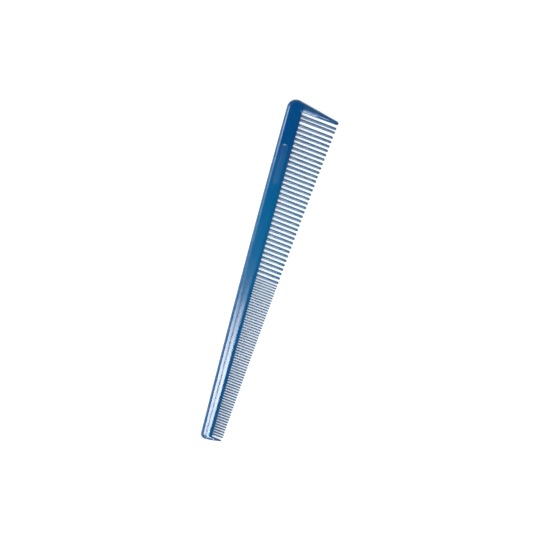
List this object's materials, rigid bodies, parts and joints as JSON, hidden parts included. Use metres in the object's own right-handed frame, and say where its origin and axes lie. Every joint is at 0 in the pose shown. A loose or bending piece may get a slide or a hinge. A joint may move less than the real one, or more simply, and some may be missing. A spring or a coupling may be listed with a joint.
{
  "type": "grooming comb",
  "caption": "Tapered one-piece plastic grooming comb: stiff spine with end guards, long coarse teeth at the deep end and short fine teeth at the shallow end.",
  "frame": {"origin": "middle of the comb's box, on the surface that it lies flat on", "axes": "+X along the comb from the shallow toe end to the deep heel end, teeth towards -Y, +Z the thickness, up from the resting face"},
  "size_m": [0.18, 0.0278, 0.0036],
  "materials": {
    "comb_plastic": "glossy deep blue moulded plastic, one colour all through"
  },
  "bodies": {
    "root": {"spine": "comb_plastic", "toe_guard": "comb_plastic", "heel_guard": "comb_plastic", "coarse_tooth_01": "comb_plastic", "coarse_tooth_02": "comb_plastic", "coarse_tooth_03": "comb_plastic", "coarse_tooth_04": "comb_plastic", "coarse_tooth_05": "comb_plastic", "coarse_tooth_06": "comb_plastic", "coarse_tooth_07": "comb_plastic", "coarse_tooth_08": "comb_plastic", "coarse_tooth_09": "comb_plastic", "coarse_tooth_10": "comb_plastic", "coarse_tooth_11": "comb_plastic", "coarse_tooth_12": "comb_plastic", "coarse_tooth_13": "comb_plastic", "coarse_tooth_14": "comb_plastic", "coarse_tooth_15": "comb_plastic", "coarse_tooth_16": "comb_plastic", "coarse_tooth_17": "comb_plastic", "coarse_tooth_18": "comb_plastic", "coarse_tooth_19": "comb_plastic", "coarse_tooth_20": "comb_plastic", "coarse_tooth_21": "comb_plastic", "coarse_tooth_22": "comb_plastic", "coarse_tooth_23": "comb_plastic", "coarse_tooth_24": "comb_plastic", "coarse_tooth_25": "comb_plastic", "coarse_tooth_26": "comb_plastic", "coarse_tooth_27": "comb_plastic", "coarse_tooth_28": "comb_plastic", "coarse_tooth_29": "comb_plastic", "coarse_tooth_30": "comb_plastic", "coarse_tooth_31": "comb_plastic", "coarse_tooth_32": "comb_plastic", "coarse_tooth_33": "comb_plastic", "coarse_tooth_34": "comb_plastic", "coarse_tooth_35": "comb_plastic", "coarse_tooth_36": "comb_plastic", "fine_teeth_01": "comb_plastic", "fine_teeth_02": "comb_plastic", "fine_teeth_03": "comb_plastic", "fine_teeth_04": "comb_plastic", "fine_teeth_05": "comb_plastic", "fine_teeth_06": "comb_plastic", "fine_teeth_07": "comb_plastic", "fine_teeth_08": "comb_plastic", "fine_teeth_09": "comb_plastic", "fine_teeth_10": "comb_plastic", "fine_teeth_11": "comb_plastic", "fine_teeth_12": "comb_plastic", "fine_teeth_13": "comb_plastic", "fine_teeth_14": "comb_plastic", "fine_teeth_15": "comb_plastic", "fine_teeth_16": "comb_plastic"}
  },
  "joints": []
}
